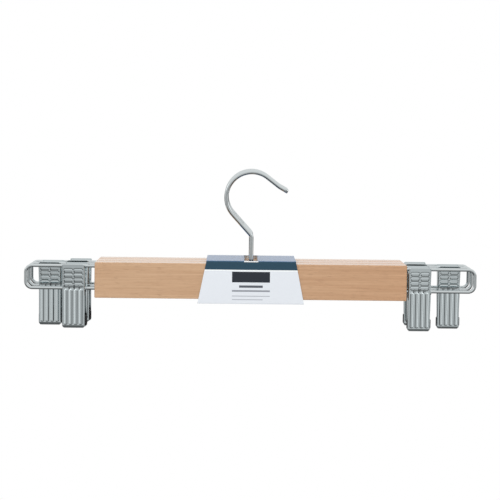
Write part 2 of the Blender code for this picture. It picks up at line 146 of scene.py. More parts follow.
# Pressed ridges on the jaw, and pills on the handle: flat top, flank and height. The foot's
# steepness and the point's multiply the distance past a ridge's end. NOTCH_SQUASH does so with
# the height past a notch's middle, and PILL_LEAN makes a pill's upper flank the shorter one
RIDGE_PITCH = 4.25 * MM
RIDGE_FOOT_STEEP = 1.4
RIDGE_POINT_STEEP = 0.8
RIDGE_FLAT = 0.45 * MM
RIDGE_FLANK = 1.2 * MM
RIDGE_HEIGHT = 0.53 * MM
RIDGE_TOP = -1.2 * MM
RIDGE_FOOT = -29.6 * MM
NOTCH_HEIGHT = 0.3 * MM
NOTCH_HALF = 1.3 * MM
NOTCH_DEPTH = 0.3 * MM
NOTCH_SQUASH = 0.5
GROOVE_WIDTH = 0.75 * MM
GROOVE_DEPTH = 0.17 * MM
GROOVE_RISE = 0.9 * MM
PILL_APART = 4.15 * MM
PILL_RUN = 2.1 * MM
PILL_PITCH = 4.1 * MM
PILL_FOOT = 3.4 * MM
PILL_FLAT = 0.9 * MM
PILL_FLANK = 0.9 * MM
PILL_LEAN = 0.45
PILL_HEIGHT = 0.19 * MM

# Pad: its foot and head above the jaw's tip, half width, round corners, soft edge and back face.
# PAD_CLOSE draws a layer in to a point
PAD_FOOT = 1.1 * MM
PAD_HEAD = 10.1 * MM
PAD_HALF = 9.9 * MM
PAD_ROUND = 1.6 * MM
PAD_SOFT = 0.45 * MM
PAD_BACK = -0.15 * MM
PAD_CLOSE = 9 * MM

# Spring: its coil, the rise of its legs, and how far round the coil a leg's piece begins
COIL_RADIUS = 2.3 * MM
COIL_PITCH = 1.7 * MM
COIL_TURNS = 4
COIL_POINTS = 240
LEG_RISE = 11.0 * MM
LEG_SWEEP = math.radians(16)
LEG_CHAMFER = 0.1 * MM

# Sides of each round wire, of a pad's outline, and of the cutters for the pivot holes and the
# sleeve's slot. Then the pivot cutter's length, and the sleeve's columns
HOOK_SIDES = 40
LOOP_SIDES = 28
SPRING_SIDES = 14
PAD_SIDES = 64
DRILL_SIDES = 40
SLOT_SIDES = 160
DRILL_LENGTH = 2.4 * JAW_HALF
SLEEVE_COLUMNS = 33

# Least angle between two faces that shows as a sharp edge
METAL_SHARP = math.radians(40)
CARD_SHARP = math.radians(35)

# Card sleeve: half widths, and its slot's half width, dip below the top and distance to a fold.
# Then the radius of its folds, how far the glue lap lies inside the back and how high it is, how
# far the front and back bow out, and the depth that counts as the outer skin
CARD = 0.5 * MM
SLEEVE_TOP_HALF = 37.9 * MM
SLEEVE_FOOT_HALF = 45.1 * MM
SLOT_HALF = 6.0 * MM
SLOT_DIP = 2.6 * MM
SLOT_SHORT = 1.3 * MM
FOLD = 0.9 * MM
LAP = 1.15 * CARD
LAP_HEIGHT = 11 * MM
CARD_BOW = 0.35 * MM
SKIN_DEPTH = 0.4 * MM

# Print: foot of the coloured band, the pale line below it, and plain marks. Each mark is left,
# right, foot and top in mm, and a screen colour
BAND_FOOT = -80.4 * MM
BAND_LINE = 1.0 * MM
PRINT = [
    (-6.0, 6.0, -73.8, -73.0, (252, 252, 250)),
    (-16.0, 16.0, -91.0, -82.0, (40, 45, 54)),
    (-10.0, 10.0, -95.5, -93.5, (92, 96, 104)),
    (-16.0, 16.0, -99.0, -97.5, (150, 154, 162)),
    (-16.0, 16.0, -103.0, -102.3, (178, 182, 190)),
    (-16.0, 10.0, -106.0, -105.3, (178, 182, 190)),
]

# Screen colours of the card: its pale sides, the band's front and top, and the line below it.
# The band's top is a paler blue than its front: painted sheen
CARD_PALE = ((226, 231, 238), (233, 237, 242))
BAND_FRONT = ((34, 66, 84), (44, 76, 94))
BAND_TOP_SHEEN = (66, 104, 146)
BAND_EDGE = (248, 252, 253)

# Plate: screen colour, least and greatest roughness, and depth of its waves in metres
WIRE_PLATE = ((203, 209, 210), (0.05, 0.12), 0.00001)
SHEET_PLATE = ((204, 213, 215), (0.06, 0.13), 0.00002)

# Screen colours of the wood: its ground, its warmer right, figure, fine grain, pores and end
# grain. WOOD_SHIFT moves the pattern from one bar to the next
WOOD_GROUND = ((213, 178, 143), (198, 159, 124))
WOOD_RIGHT = (206, 163, 126)
WOOD_FIGURE = (168, 118, 80)
WOOD_FINE = (176, 134, 98)
WOOD_PORES = (140, 98, 66)
WOOD_END = ((178, 138, 104), (150, 110, 78))
WOOD_SHIFT = 0.37

# Screen colours of the pads and of the springs
PAD_BLACK = ((20, 20, 22), (38, 38, 40))
SPRING_GREY = ((150, 152, 154), (182, 184, 186))

# Clear coats on the wood and on the card
LACQUER = {
    "Coat Weight": 1.0,
    "Coat Roughness": 0.16,
    "Coat IOR": 1.4,
    "Specular IOR Level": 0.2,
}
CARD_GLOSS = {
    "Coat Weight": 0.84,
    "Coat Roughness": 0.18,
    "Coat IOR": 1.32,
    "Specular IOR Level": 0.1,
}

# How squarely a face must look along an axis to count as end grain, or as the sleeve's top,
# which gets the band's painted sheen
SQUARELY = 0.7

# Camera: place, turn in degrees (yaw, pitch, roll), lens in mm and shift in frame widths
CAMERA_PLACE = (-0.012974, -0.880, 0.042601)
CAMERA_TURN = (0.728, 2.499, 0.729)
CAMERA_LENS = 73.884
CAMERA_SHIFT = -0.1627

# Lamps: name, place, width and height, and power. All point at the middle of the bars
LAMP_AIM = (0, 0, -0.09)
LAMPS = [
    ("top_softbox", (-0.1, -0.3, 0.9), (1.2, 0.5), 3.6),
    ("front_fill", (-0.7, -1.3, 0.5), (0.6, 1.0), 3.0),
]

# Floor: how far it lies below the object, and how far it reaches to each side
FLOOR_DROP = 0.30
FLOOR_REACH = 4

# Studio: its light on matt surfaces, and its brightness in reflections. Each list gives that
# brightness by the height looked at, from -1 straight down to 1 straight up. The front's left,
# the front's right and the back have a list each. All three begin with STUDIO_BELOW. The front's
# two go on alike over the floor, and end alike with STUDIO_ABOVE. ACROSS and BACKWARD bound the
# directions over which one list blends into the next. STUDIO_SIDES multiplies the brightness by
# how far to the side is looked, from 0 ahead or behind to 1 square to the side, and fades out
# over the heights in SIDES_TOP. A lit panel at each side is added: PANEL_LIGHT, times a share by
# how far to the side is looked, times a share by how far back
WORLD_LIGHT = 0.8
STUDIO_ABOVE = [(-0.2, 0.68), (-0.05, 0.68), (0.15, 0.8), (0.4, 1.0), (1.0, 1.0)]
STUDIO_BELOW = [(-1.0, 0.9), (-0.992, 0.9), (-0.985, 0.06), (-0.93, 0.06)]
STUDIO_FLOOR = [*STUDIO_BELOW, (-0.86, 0.32), (-0.66, 0.32), (-0.61, 0.12)]
STUDIO_LEFT = [*STUDIO_FLOOR, (-0.5, 0.1), (-0.45, 0.5), (-0.36, 0.62), *STUDIO_ABOVE]
STUDIO_RIGHT = [*STUDIO_FLOOR, (-0.58, 0.14), (-0.54, 0.64), (-0.36, 0.64), *STUDIO_ABOVE]
STUDIO_BACK = [*STUDIO_BELOW, (-0.6, 0.12), (-0.45, 0.5), (-0.1, 0.55), (0.04, 0.95), (1.0, 1.0)]
STUDIO_SIDES = [(0.0, 1.0), (0.34, 1.0), (0.42, 0.34), (1.0, 0.3)]
SIDES_TOP = (0.05, 0.3)
ACROSS = (-0.1, 0.1)
BACKWARD = (-0.3, 0.2)
PANEL_LIGHT = 1.15
PANEL_SIDEWAYS = [(0.0, 0.0), (0.83, 0.0), (0.87, 1.0), (1.0, 1.0)]
PANEL_BACKWARDS = [(-0.35, 1.0), (-0.15, 1.0), (-0.02, 0.0)]


def place_of(joint_name):
    """The point in the part's frame that a joint turns about."""
    found = [joint for joint in frame["joints"] if joint["name"] == joint_name]
    return np.array(found[0]["pos_m"], float)


# Meshes from grids of points


def grid_mesh(name, grid, around=False):
    """A mesh whose points are a grid of rows and columns, with a four-sided face in each cell.

    Cell (i, j) joins points (i, j), (i, j+1), (i+1, j+1) and (i+1, j). With around, the last
    column joins the first. Points that fall together, as at a pole, are merged.
    """
    rows, columns = grid.shape[:2]
    index = np.arange(rows * columns).reshape(rows, columns)
    right = np.roll(index, -1, axis=1) if around else index[:, 1:]
    left = index if around else index[:, :-1]
    faces = np.stack([left[:-1], right[:-1], right[1:], left[1:]], axis=-1).reshape(-1, 4)
    mesh = bpy.data.meshes.new(name)
    mesh.from_pydata(grid.reshape(-1, 3), [], faces)
    shape = bmesh.new()
    shape.from_mesh(mesh)
    bmesh.ops.remove_doubles(shape, verts=shape.verts, dist=1e-6)
    if around:
        bmesh.ops.recalc_face_normals(shape, faces=shape.faces)
    shape.to_mesh(mesh)
    shape.free()
    mesh.shade_smooth()
    return mesh


def moved_mesh(name, mesh, turn, place):
    """A copy of a mesh, turned about Z by an angle and then moved to a place."""
    copy = mesh.copy()
    copy.name = name
    copy.transform(Matrix.Translation(tuple(place)) @ Matrix.Rotation(turn, 4, "Z"))
    return copy


def add_piece(name, mesh, material, body, replaced=None):
    """A piece of the object: it rides on a body, and may stand in for a CAD node."""
    piece = bpy.data.objects.new(name, mesh)
    bpy.context.scene.collection.objects.link(piece)
    mesh.materials.clear()
    mesh.materials.append(material)
    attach(piece, body)
    if replaced:
        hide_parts(replaced)


def finished_mesh(item):
    """The object's mesh with its modifiers applied. The object itself is removed."""
    graph = bpy.context.evaluated_depsgraph_get()
    mesh = bpy.data.meshes.new_from_object(item.evaluated_get(graph))
    bpy.data.objects.remove(item, do_unlink=True)
    return mesh


def scratch_object(mesh):
    """An object that only serves to cut, thicken or be a cutter, and is removed afterwards."""
    item = bpy.data.objects.new("scratch", mesh)
    bpy.context.scene.collection.objects.link(item)
    return item


# Wires


def bent_path(start, heading, steps):
    """Points and directions along straight runs and round bends in the XZ plane.

    A run is (length, 0). A bend is (radius, angle), where a positive angle turns left. On a
    bend the point is the centre plus the radius times the sine and cosine of the heading.
    """
    x, z = start
    points, headings = [np.array([[x, z]])], [np.array([heading])]
    for size, angle in steps:
        if angle == 0:
            reach = np.linspace(0, size, max(2, int(size / RUN_STEP)) + 1)[1:]
            ahead = np.full(reach.shape, heading)
            part = np.stack([x + reach * np.cos(heading), z + reach * np.sin(heading)], 1)
        else:
            count = max(4, int(abs(angle) / BEND_STEP))
            ahead = heading + angle * np.linspace(0, 1, count + 1)[1:]
            side = np.sign(angle) * size
            part = np.stack(
                [
                    x + side * (np.sin(ahead) - np.sin(heading)),
                    z - side * (np.cos(ahead) - np.cos(heading)),
                ],
                1,
            )
        points.append(part)
        headings.append(ahead)
        x, z = part[-1]
        heading = ahead[-1]
    points = np.concatenate(points)
    headings = np.concatenate(headings)
    place = np.stack([points[:, 0], np.zeros(len(points)), points[:, 1]], 1)
    along = np.stack([np.cos(headings), np.zeros(len(points)), np.sin(headings)], 1)
    return place, along


def tube_mesh(name, place, along, side, radius, sides, chamfer=0.0):
    """A round wire: at each point of the path, a circle square to the path's direction.

    A point of the circle is the path's point plus the radius times the cosine along the side
    vector and the sine along the third direction. Each end is closed by a smaller circle, for
    the chamfer, and a circle of no size.
    """
    radii = np.broadcast_to(np.asarray(radius, float), (len(place),)).copy()
    first, last = along[0] * chamfer, along[-1] * chamfer
    place = np.concatenate([place[:1], place[:1], place, place[-1:], place[-1:]])
    place[2] += first
    place[-3] -= last
    along = np.concatenate([along[:1], along[:1], along, along[-1:], along[-1:]])
    side = np.concatenate([side[:1], side[:1], side, side[-1:], side[-1:]])
    radii = np.concatenate([[0, radii[0] - chamfer], radii, [radii[-1] - chamfer, 0]])
    third = np.cross(along, side)
    third /= np.linalg.norm(third, axis=1, keepdims=True)
    side = np.cross(third, along)
    angle = np.linspace(0, 2 * np.pi, sides, endpoint=False)
    ring = (
        side[:, None, :] * np.cos(angle)[None, :, None]
        + third[:, None, :] * np.sin(angle)[None, :, None]
    )
    return grid_mesh(name, place[:, None, :] + radii[:, None, None] * ring, around=True)


def hook_mesh():
    """Stem, leaning shank, round crook and flicked nose of one wire, with a peened head below."""
    top = CROOK * math.sin(SHANK_LEAN)
    tangent = STEM_BEND * math.tan(SHANK_LEAN / 2)
    crook_x = -CROOK * math.cos(SHANK_LEAN)
    crook_z = HOOK_WIRE / 2 - CROOK - top
    corner_z = crook_z + crook_x / math.tan(SHANK_LEAN)
    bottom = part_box("middle_hook")[0].z
    steps = [
        (corner_z - tangent - bottom, 0),
        (STEM_BEND, SHANK_LEAN),
        (-crook_x / math.sin(SHANK_LEAN) - tangent, 0),
        (CROOK, -(math.pi / 2 + SHANK_LEAN + NOSE_SLOPE)),
        (NOSE_RUN, 0),
        (FLICK_RADIUS, NOSE_FLICK),
        (TIP_RUN, 0),
    ]
    place, along = bent_path((0, bottom), math.pi / 2, steps)
    head = len(HEAD_HEIGHTS)
    place = np.concatenate([place[:1] + HEAD_HEIGHTS[:, None] * [0, 0, 1], place[1:]])
    along = np.concatenate([np.repeat(along[:1], head, 0), along[1:]])
    radii = np.full(len(place), HOOK_WIRE / 2)
    radii[:head] = HEAD_RADII
    place = np.insert(place, head, place[head - 1] + [0, 0, HEAD_STEP], axis=0)
    along = np.insert(along, head, along[head - 1], axis=0)
    radii = np.insert(radii, head, HOOK_WIRE / 2)
    side = np.tile([0.0, 1.0, 0.0], (len(place), 1))
    return tube_mesh("hook_wire", place, along, side, radii, HOOK_SIDES, HOOK_CHAMFER)


def loop_mesh(sign):
    """A U of wire: a leg out of the bar, two round bends, and a leg back into the bar."""
    low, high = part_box("middle_right_wire_loop")
    run = high.x - low.x - LOOP_WIRE / 2 - LOOP_BEND
    drop = high.z - low.z - LOOP_WIRE - 2 * LOOP_BEND
    quarter = -math.pi / 2
    steps = [(run, 0), (LOOP_BEND, quarter), (drop, 0), (LOOP_BEND, quarter), (run, 0)]
    place, along = bent_path((low.x, high.z - LOOP_WIRE / 2), 0.0, steps)
    place[:, 0] *= sign
    along[:, 0] *= sign
    side = np.tile([0.0, 1.0, 0.0], (len(place), 1))
    return tube_mesh("loop_wire", place, along, side, LOOP_WIRE / 2, LOOP_SIDES, LOOP_CHAMFER)


# Clip


def smooth_step(value, low, high):
    """0 below low, 1 above high, and an S-shaped rise of 3 t^2 - 2 t^3 between."""
    t = np.clip((value - low) / (high - low), 0, 1)
    return t * t * (3 - 2 * t)


def outer_depth(z):
    """How far the jaw's outer face stands from the hinge plane: two slopes, with a soft bend."""
    above = HINGE_DEPTH + (HANDLE_DEPTH - HINGE_DEPTH) * z / HANDLE_RISE
    below = HINGE_DEPTH + (HINGE_DEPTH - TIP_DEPTH) * z / JAW_DROP
    return below + (above - below) * smooth_step(z, *HINGE_BEND)


def embossing(x, z):
    """Height of the pressed pattern above the jaw's face, over its width and height.

    On the jaw, four long ridges: flat on top, with an S-shaped fall at each flank. The distance
    below the foot, times its steepness, is added squared, which makes a round end. The distance
    above the top, times its own, is added as it is, which makes a point. On the handle, two
    columns of four pills: the fall begins so far from each pill's middle line, and is steeper
    above it than below. A groove runs over each pill's upper edge, and a notch, deepest in its
    middle and twice as tall as wide, lies between the ridges' upper ends.
    """
    nearest = (np.floor(x / RIDGE_PITCH) + 0.5) * RIDGE_PITCH
    nearest = np.clip(nearest, -1.5 * RIDGE_PITCH, 1.5 * RIDGE_PITCH)
    below = RIDGE_FOOT_STEEP * np.maximum(RIDGE_FOOT - z, 0)
    above = np.maximum(z - RIDGE_TOP, 0)
    distance = np.hypot(x - nearest, below) + RIDGE_POINT_STEEP * above
    ridge = 1 - smooth_step(distance, RIDGE_FLAT, RIDGE_FLAT + RIDGE_FLANK)
    row = np.clip(np.round((z - PILL_FOOT) / PILL_PITCH), 0, 3)
    across = np.maximum(np.abs(np.abs(x) - PILL_APART) - PILL_RUN, 0)
    over = z - PILL_FOOT - row * PILL_PITCH
    distance = np.hypot(across, over) + 1e-6
    flank = PILL_FLANK * (1 - PILL_LEAN * over / distance)
    pill = 1 - smooth_step(distance, PILL_FLAT, PILL_FLAT + flank)
    edge = (distance - PILL_FLAT - flank) / GROOVE_WIDTH
    groove = (1 - pill) * np.clip(1 - edge, 0, 1) * smooth_step(over, 0, GROOVE_RISE)
    valley = np.clip(np.round(x / RIDGE_PITCH), -1, 1) * RIDGE_PITCH
    notch = 1 - np.hypot(x - valley, NOTCH_SQUASH * (z - NOTCH_HEIGHT)) / NOTCH_HALF
    sunk = np.maximum(GROOVE_DEPTH * groove, NOTCH_DEPTH * np.clip(notch, 0, 1))
    return np.maximum(RIDGE_HEIGHT * ridge, PILL_HEIGHT * pill) - sunk * (1 - ridge)


def wall_depth(z):
    """Depth of the jaw's side wall: a lip at the handle's top, a wall, an ear, and a taper."""
    depth = LIP_DEPTH + (WALL_DEPTH - LIP_DEPTH) * (1 - smooth_step(z, *WALL_GROWS))
    narrow = TIP_WALL + TAPER_EXTRA
    taper = narrow + (WALL_DEPTH - TIP_WALL - TAPER_EXTRA) * (z - PAD_TOP) / TAPER_LENGTH
    depth = np.minimum(depth, np.maximum(taper, narrow))
    depth = depth - (depth - TIP_WALL) * (1 - smooth_step(z, PAD_TOP, PAD_TOP + TAPER_END))
    ear = outer_depth(z) + np.sqrt(np.maximum(EAR_RADIUS**2 - z**2, 0))
    return np.where(np.abs(z) < EAR_RADIUS, np.maximum(depth, ear), depth)


def jaw_mesh():
    """The stamping: rows down the jaw, columns round its section, then its metal thickness.

    Across a row the columns run up one wall, round its corner, over the face and down the
    other wall. The face's depth is the outer depth less the embossing. The hinge is on X.
    """
    runs = [
        np.linspace(low, high, count, endpoint=False)
        for low, high, count in zip(ROW_STOPS, ROW_STOPS[1:], ROW_COUNTS)
    ]
    z = np.concatenate([*runs, ROW_STOPS[-1:]])[::-1, None]
    fall = np.clip(z - (HANDLE_RISE - HANDLE_ROUND), 0, HANDLE_ROUND)
    half = JAW_HALF - HANDLE_ROUND + np.sqrt(HANDLE_ROUND**2 - fall**2)
    half = half - np.clip(-JAW_DROP + TIP_CHAMFER - z, 0, TIP_CHAMFER)
    bend = np.linspace(0, np.pi / 2, CORNER_COLUMNS)[None, 1:]
    down = np.linspace(1, 0, WALL_COLUMNS)[None, :]
    wall = np.maximum(wall_depth(z), JAW_CORNER + LEAST_WALL)
    wall_d = JAW_CORNER + (wall - JAW_CORNER) * down
    wall_x = half + 0 * down
    bend_x = half - JAW_CORNER + JAW_CORNER * np.cos(bend)
    bend_d = JAW_CORNER - JAW_CORNER * np.sin(bend) + 0 * z
    share = np.linspace(1, -1, FACE_COLUMNS)[None, 1:-1]
    face_x = (half - JAW_CORNER) * share
    face_d = -embossing(face_x, z + 0 * share)
    across = np.concatenate([wall_x, bend_x, face_x], 1)
    depth = np.concatenate([wall_d, bend_d, face_d], 1)
    across = np.concatenate([across, -bend_x[:, ::-1], -wall_x[:, ::-1]], 1)
    depth = np.concatenate([depth, bend_d[:, ::-1], wall_d[:, ::-1]], 1)
    past = np.maximum(-z - (JAW_DROP - TURN_HEIGHT), 0)
    turned_in = TURN_STEEP * past**2 / (past + TURN_SOFT)
    y = -outer_depth(z) + turned_in + depth
    grid = np.stack([across - JAW_SHIFT, y, z + 0 * across], -1)
    sheet = grid_mesh("jaw_sheet", grid)
    if sum(face.normal.y * face.area for face in sheet.polygons) > 0:
        sheet.flip_normals()
    jaw = scratch_object(sheet)
    metal = jaw.modifiers.new("metal", "SOLIDIFY")
    metal.thickness = JAW_METAL
    metal.offset = -1
    metal.use_even_offset = True
    drill = scratch_object(cylinder_mesh(PIVOT_HOLE, DRILL_LENGTH, DRILL_SIDES))
    hole = jaw.modifiers.new("hinge_hole", "BOOLEAN")
    hole.object = drill
    hole.solver = "EXACT"
    mesh = finished_mesh(jaw)
    bpy.data.objects.remove(drill, do_unlink=True)
    mesh.shade_smooth()
    mesh.set_sharp_from_angle(angle=METAL_SHARP)
    return mesh


def cylinder_mesh(radius, length, sides):
    """A closed cylinder on the X axis, in the middle of its length."""
    place = np.array([[-length / 2, 0, 0], [length / 2, 0, 0]])
    along = np.tile([1.0, 0.0, 0.0], (2, 1))
    side = np.tile([0.0, 1.0, 0.0], (2, 1))
    return tube_mesh("cylinder", place, along, side, radius, sides)


def pad_mesh():
    """A soft pad: rounded rectangles stacked in depth, drawn in at the front and back edges.

    An outline point is the corner's middle plus the corner radius times cosine and sine. Each
    layer is the outline, drawn in by so much, at its own depth.
    """
    bottom, top = -JAW_DROP + PAD_FOOT, -JAW_DROP + PAD_HEAD
    front = TIP_WALL + CLEARANCE - outer_depth(np.array(bottom))
    turn = np.linspace(0, np.pi / 2, 9)
    falling, rising = PAD_SOFT * (1 - np.sin(turn)), PAD_SOFT * (1 - np.cos(turn))
    draw = np.concatenate([[PAD_CLOSE], falling, rising, [PAD_CLOSE]])
    depth = np.concatenate([[front], front + rising, PAD_BACK - falling, [PAD_BACK]])
    angle = np.linspace(0, 2 * np.pi, PAD_SIDES, endpoint=False) + np.pi / PAD_SIDES
    corner_x = (PAD_HALF - PAD_ROUND) * np.sign(np.cos(angle))
    corner_z = ((top - bottom) / 2 - PAD_ROUND) * np.sign(np.sin(angle))
    radius = np.maximum(PAD_ROUND - draw[:, None], 0)
    shrink = np.minimum(draw[:, None] - (PAD_ROUND - radius), PAD_CLOSE)
    x = np.sign(corner_x) * np.maximum(np.abs(corner_x) - shrink, 0) + radius * np.cos(angle)
    z = np.sign(corner_z) * np.maximum(np.abs(corner_z) - shrink, 0) + radius * np.sin(angle)
    y = depth[:, None] + 0 * x
    grid = np.stack([x - JAW_SHIFT, y, z + (top + bottom) / 2], -1)
    return grid_mesh("grip_pad", grid, around=True)


def coil_shape():
    """Depth of a leg's tip, angle at which it leaves, and the coil's whole turn and half length."""
    tip = outer_depth(np.array(LEG_RISE)) - JAW_METAL - CLEARANCE - SPRING_WIRE / 2
    reach = math.hypot(tip, LEG_RISE)
    leaves = math.atan2(LEG_RISE, tip) - math.acos(COIL_RADIUS / reach)
    turned = 2 * math.pi * COIL_TURNS + math.pi + 2 * leaves
    return float(tip), leaves, turned, COIL_PITCH * turned / (4 * math.pi)


def coil_mesh():
    """A helix round the hinge: depth and height are the coil's radius times cosine and sine."""
    _, leaves, turned, half = coil_shape()
    angle = math.pi - leaves + np.linspace(0, turned, COIL_POINTS)
    x = np.linspace(-half, half, COIL_POINTS)
    out = np.stack([0 * x, np.cos(angle), np.sin(angle)], 1)
    place = COIL_RADIUS * out + np.stack([x, 0 * x, 0 * x], 1)
    along = np.stack([0 * x, -np.sin(angle), np.cos(angle)], 1) * COIL_RADIUS
    along[:, 0] = 2 * half / turned
    along /= np.linalg.norm(along, axis=1, keepdims=True)
    return tube_mesh("spring_coil", place, along, out, SPRING_WIRE / 2, SPRING_SIDES)


def leg_mesh():
    """The spring's leg at the face jaw: part of the coil's circle, then straight up."""
    tip, leaves, _, half = coil_shape()
    start = math.pi - leaves
    angle = start + LEG_SWEEP * np.linspace(1, 0, 10)
    arc = COIL_RADIUS * np.stack([0 * angle, np.cos(angle), np.sin(angle)], 1)
    arc_along = np.stack([0 * angle, np.sin(angle), -np.cos(angle)], 1)
    reach = np.array([0, -tip, LEG_RISE]) - arc[-1]
    run = reach[None, :] * np.linspace(0, 1, 12)[1:, None] + arc[-1]
    run_along = np.tile(reach / np.linalg.norm(reach), (len(run), 1))
    place = np.concatenate([arc, run]) - [half, 0, 0]
    along = np.concatenate([arc_along, run_along])
    side = np.tile([1.0, 0.0, 0.0], (len(place), 1))
    return tube_mesh("spring_leg", place, along, side, SPRING_WIRE / 2, SPRING_SIDES, LEG_CHAMFER)


# Card sleeve


def sleeve_mesh():
    """A band of card round the bars: its section in depth and height, carried across in X.

    The section runs down the glue lap inside the back, under, up the front, over the top and
    down the back outside the lap, with a round bend at each fold. Across, a row's half width
    grows evenly from the top fold to the foot. The front and back bow out a little.
    """
    low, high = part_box("card_sleeve")
    deep, top, foot = high.y - CARD / 2, high.z - CARD / 2, low.z + CARD / 2
    quarter = -math.pi / 2
    steps = [
        (LAP_HEIGHT, 0),
        (FOLD, quarter),
        (2 * deep - LAP - 2 * FOLD, 0),
        (FOLD, quarter),
        (top - foot - LAP - 2 * FOLD, 0),
        (FOLD, quarter),
        (2 * deep - 2 * FOLD, 0),
        (FOLD, quarter),
        (top - FOLD - foot, 0),
    ]
    start = (deep - LAP, foot + LAP + FOLD + LAP_HEIGHT)
    section, _ = bent_path(start, quarter, steps)
    y, z = section[:, 0], section[:, 2]
    share = np.clip((top - FOLD - z) / (top - FOLD - foot), 0, 1)
    half = SLEEVE_TOP_HALF + (SLEEVE_FOOT_HALF - SLEEVE_TOP_HALF) * share
    across = np.linspace(-1, 1, SLEEVE_COLUMNS)
    bow = CARD_BOW * np.sin(np.pi * share)[:, None] * (1 - across**2)[None, :]
    x = half[:, None] * across[None, :]
    y = y[:, None] + np.sign(y)[:, None] * bow * (np.abs(y) > deep - 2 * LAP)[:, None]
    grid = np.stack([x, y, z[:, None] + 0 * x], -1)
    band = scratch_object(grid_mesh("sleeve_band", grid))
    thick = band.modifiers.new("card", "SOLIDIFY")
    thick.thickness = CARD
    thick.offset = 0
    slot = scratch_object(slot_mesh(high.z, deep))
    cut = band.modifiers.new("slot", "BOOLEAN")
    cut.object = slot
    cut.solver = "EXACT"
    mesh = finished_mesh(band)
    bpy.data.objects.remove(slot, do_unlink=True)
    mesh.shade_smooth()
    mesh.set_sharp_from_angle(angle=CARD_SHARP)
    return mesh


def slot_mesh(top, deep):
    """The cutter of the stems' slot: a round bar along Y over the top, that stops at the folds.

    Its radius is (half^2 + dip^2) / (2 dip), so that it is twice the half width across at the
    height of the sleeve's top, and it dips well below the card.
    """
    radius = (SLOT_HALF**2 + SLOT_DIP**2) / (2 * SLOT_DIP)
    reach = deep - SLOT_SHORT
    place = np.array([[0, -reach, 0], [0, reach, 0]]) + [0, 0, top - SLOT_DIP + radius]
    along = np.tile([0.0, 1.0, 0.0], (2, 1))
    side = np.tile([1.0, 0.0, 0.0], (2, 1))
    return tube_mesh("slot", place, along, side, radius, SLOT_SIDES)


# Shader helpers


def new_material(name, roughness, metallic=0.0, coat=None):
    """A Principled material with plain values, its node tree and its shader."""
    material = bpy.data.materials.new(name)
    material.use_nodes = True
    tree = material.node_tree
    shader = tree.nodes["Principled BSDF"]
    shader.inputs["Roughness"].default_value = roughness
    shader.inputs["Metallic"].default_value = metallic
    for socket, value in (coat or {}).items():
        shader.inputs[socket].default_value = value
    return material, tree, shader


def node(tree, kind, inputs=None, **settings):
    """A node of a kind, with settings, and with each input set to a value or linked to a socket."""
    made = tree.nodes.new(kind)
    for name, value in settings.items():
        setattr(made, name, value)
    for name, value in (inputs or {}).items():
        if isinstance(value, bpy.types.NodeSocket):
            tree.links.new(value, made.inputs[name])
        else:
            made.inputs[name].default_value = value
    return made


def math_node(tree, operation, *values):
    """The result of a Math node for one, two or three values or sockets."""
    return node(tree, "ShaderNodeMath", dict(enumerate(values)), operation=operation).outputs[0]


def mix_value(tree, share, first, second):
    """The first number where the share is 0, the second where it is 1, and a blend between."""
    return node(tree, "ShaderNodeMix", {0: share, 2: first, 3: second}).outputs[0]


def mix_colour(tree, share, first, second):
    """The same for colours, which are other sockets of the Mix node."""
    inputs = {0: share, 6: first, 7: second}
    return node(tree, "ShaderNodeMix", inputs, data_type="RGBA").outputs[2]


def two_tone(tree, share, tones):
    """A blend of two screen colours."""
    return mix_colour(tree, share, colour(*tones[0]), colour(*tones[1]))


def remap(tree, value, low, high, to_low, to_high):
    """Takes the range from low to high to another range. Values outside it stop at its ends."""
    inputs = {"Value": value, 1: low, 2: high, 3: to_low, 4: to_high}
    return node(tree, "ShaderNodeMapRange", inputs).outputs["Result"]


def object_coordinates(tree):
    """The piece's own coordinates in metres."""
    return node(tree, "ShaderNodeTexCoord").outputs["Object"]


def mapped(tree, vector, **inputs):
    """A vector after a Mapping node with a Location or a Scale."""
    return node(tree, "ShaderNodeMapping", {"Vector": vector, **inputs}).outputs["Vector"]


def parts_of(tree, vector):
    """A vector's X, Y and Z sockets."""
    return node(tree, "ShaderNodeSeparateXYZ", {"Vector": vector}).outputs


def facing_parts(tree):
    """The X, Y and Z sockets of the direction that the surface faces."""
    return parts_of(tree, node(tree, "ShaderNodeNewGeometry").outputs["Normal"])


def noise(tree, vector, scale, detail=3.0, roughness=0.5, distortion=0.0):
    """Smooth noise from 0 to 1. The scale is about how many waves go in the vector's unit."""
    inputs = {
        "Vector": vector,
        "Scale": scale,
        "Detail": detail,
        "Roughness": roughness,
        "Distortion": distortion,
    }
    return node(tree, "ShaderNodeTexNoise", inputs).outputs["Fac"]


def bump(tree, shader, height, distance):
    """Relief on a shader: a height from 0 to 1, over a distance in metres."""
    inputs = {"Height": height, "Distance": distance, "Strength": 1.0}
    made = node(tree, "ShaderNodeBump", inputs)
    tree.links.new(made.outputs["Normal"], shader.inputs["Normal"])


def colour(red, green, blue):
    """A colour given as 0 to 255 screen values, as the shader's linear values."""
    value = np.array([red, green, blue]) / 255
    linear = np.where(value <= 0.04045, value / 12.92, ((value + 0.055) / 1.055) ** 2.4)
    return (*[float(part) for part in linear], 1.0)


def group_with(name, inputs, outputs):
    """An empty node group with inputs, given as (name, number or vector), and number outputs."""
    tree = bpy.data.node_groups.new(name, "ShaderNodeTree")
    for label, value in inputs:
        kind = "NodeSocketVector" if isinstance(value, tuple) else "NodeSocketFloat"
        socket = tree.interface.new_socket(label, in_out="INPUT", socket_type=kind)
        socket.default_value = value
    for label in outputs:
        tree.interface.new_socket(label, in_out="OUTPUT", socket_type="NodeSocketFloat")
    return tree, tree.nodes.new("NodeGroupInput"), tree.nodes.new("NodeGroupOutput")


